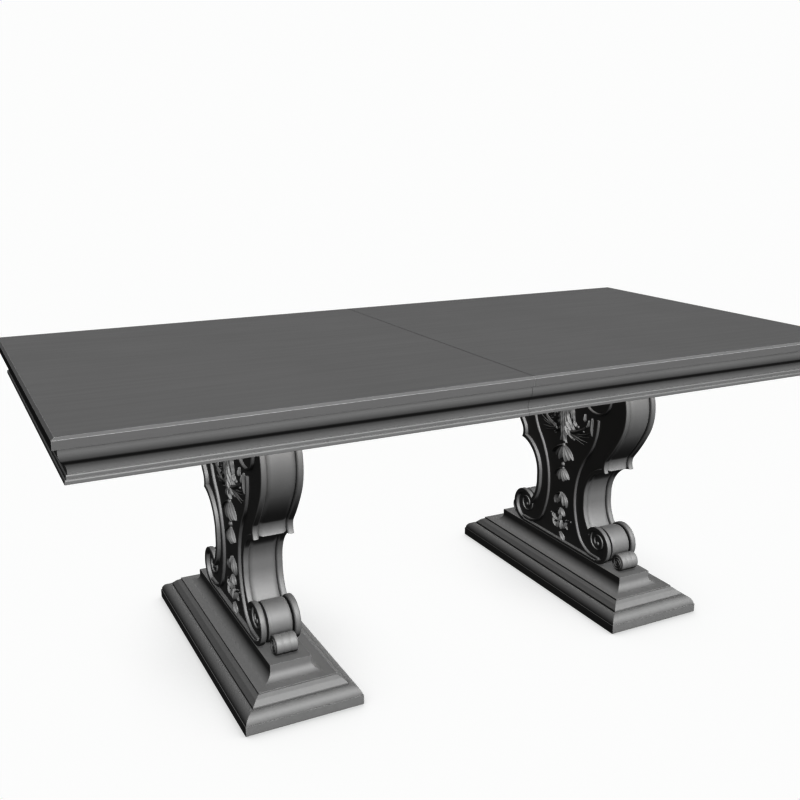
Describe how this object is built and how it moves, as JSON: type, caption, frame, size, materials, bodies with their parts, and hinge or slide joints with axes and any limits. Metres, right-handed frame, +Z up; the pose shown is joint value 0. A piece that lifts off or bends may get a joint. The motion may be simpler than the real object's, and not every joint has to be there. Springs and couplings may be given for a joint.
{
  "type": "double pedestal dining table",
  "caption": "Rectangular dining table with a moulded frieze on two scrolled, carved pedestals over stepped plinths; the halves slide apart at a centre seam.",
  "frame": {"origin": "on the floor under the centre of the closed top", "axes": "+X along the table's length, +Y across it away from the front, +Z up"},
  "size_m": [2, 1, 0.765],
  "materials": {
    "painted_wood": "grey lacquer, satin",
    "hardwood": "planed hardwood, waxed",
    "steel": "zinc plated",
    "latch_steel": "pressed steel, dull",
    "glide_nylon": "moulded, matt"
  },
  "bodies": {
    "left_half": {"left_top_panel": "painted_wood", "left_front_frieze": "painted_wood", "left_back_frieze": "painted_wood", "left_end_frieze": "painted_wood", "left_corner_blocks": "hardwood", "left_bearer": "hardwood", "left_bearer_screws": "steel", "left_tie_rods": "steel", "left_pedestal_core": "painted_wood", "left_pedestal_outer_face": "painted_wood", "left_pedestal_inner_face": "painted_wood", "left_pedestal_outer_crest_carving": "painted_wood", "left_pedestal_inner_crest_carving": "painted_wood", "left_pedestal_outer_drop_carving": "painted_wood", "left_pedestal_inner_drop_carving": "painted_wood", "left_front_toe_roll": "painted_wood", "left_back_toe_roll": "painted_wood", "left_plinth_base": "painted_wood", "left_plinth_chamfer": "painted_wood", "left_plinth_cap": "painted_wood", "left_plinth_glides": "glide_nylon", "left_front_runner": "hardwood", "left_back_runner": "hardwood", "left_runner_screws": "steel", "seam_pins": "steel", "latch_bases": "latch_steel"},
    "right_half": {"right_top_panel": "painted_wood", "right_front_frieze": "painted_wood", "right_back_frieze": "painted_wood", "right_end_frieze": "painted_wood", "right_corner_blocks": "hardwood", "right_bearer": "hardwood", "right_bearer_screws": "steel", "right_tie_rods": "steel", "right_pedestal_core": "painted_wood", "right_pedestal_outer_face": "painted_wood", "right_pedestal_inner_face": "painted_wood", "right_pedestal_outer_crest_carving": "painted_wood", "right_pedestal_inner_crest_carving": "painted_wood", "right_pedestal_outer_drop_carving": "painted_wood", "right_pedestal_inner_drop_carving": "painted_wood", "right_front_toe_roll": "painted_wood", "right_back_toe_roll": "painted_wood", "right_plinth_base": "painted_wood", "right_plinth_chamfer": "painted_wood", "right_plinth_cap": "painted_wood", "right_plinth_glides": "glide_nylon", "right_front_runner": "hardwood", "right_back_runner": "hardwood", "right_runner_screws": "steel", "latch_keepers": "latch_steel"},
    "front_centre_runner": {"front_centre_runner": "hardwood"},
    "front_latch": {"front_latch_lever": "latch_steel"},
    "back_centre_runner": {"back_centre_runner": "hardwood"},
    "back_latch": {"back_latch_lever": "latch_steel"}
  },
  "joints": [
    {"name": "top_slide", "type": "slide", "parent": "left_half", "child": "right_half", "axis": [1, 0, 0], "range_m": [0, 0.5]},
    {"name": "front_runner_slide", "type": "slide", "parent": "left_half", "child": "front_centre_runner", "axis": [1, 0, 0], "range_m": [0, 0.25]},
    {"name": "back_runner_slide", "type": "slide", "parent": "left_half", "child": "back_centre_runner", "axis": [1, 0, 0], "range_m": [0, 0.25]},
    {"name": "front_latch_swing", "type": "hinge", "parent": "left_half", "child": "front_latch", "pos_m": [-0.042, -0.19, 0.7376], "axis": [0, 0, 1], "range_deg": [0, 90]},
    {"name": "back_latch_swing", "type": "hinge", "parent": "left_half", "child": "back_latch", "pos_m": [-0.042, 0.19, 0.7376], "axis": [0, 0, -1], "range_deg": [0, 90]}
  ],
  "couplings": [
    {"joint": "front_runner_slide", "follows": "top_slide", "ratio": 0.5},
    {"joint": "back_runner_slide", "follows": "top_slide", "ratio": 0.5}
  ]
}
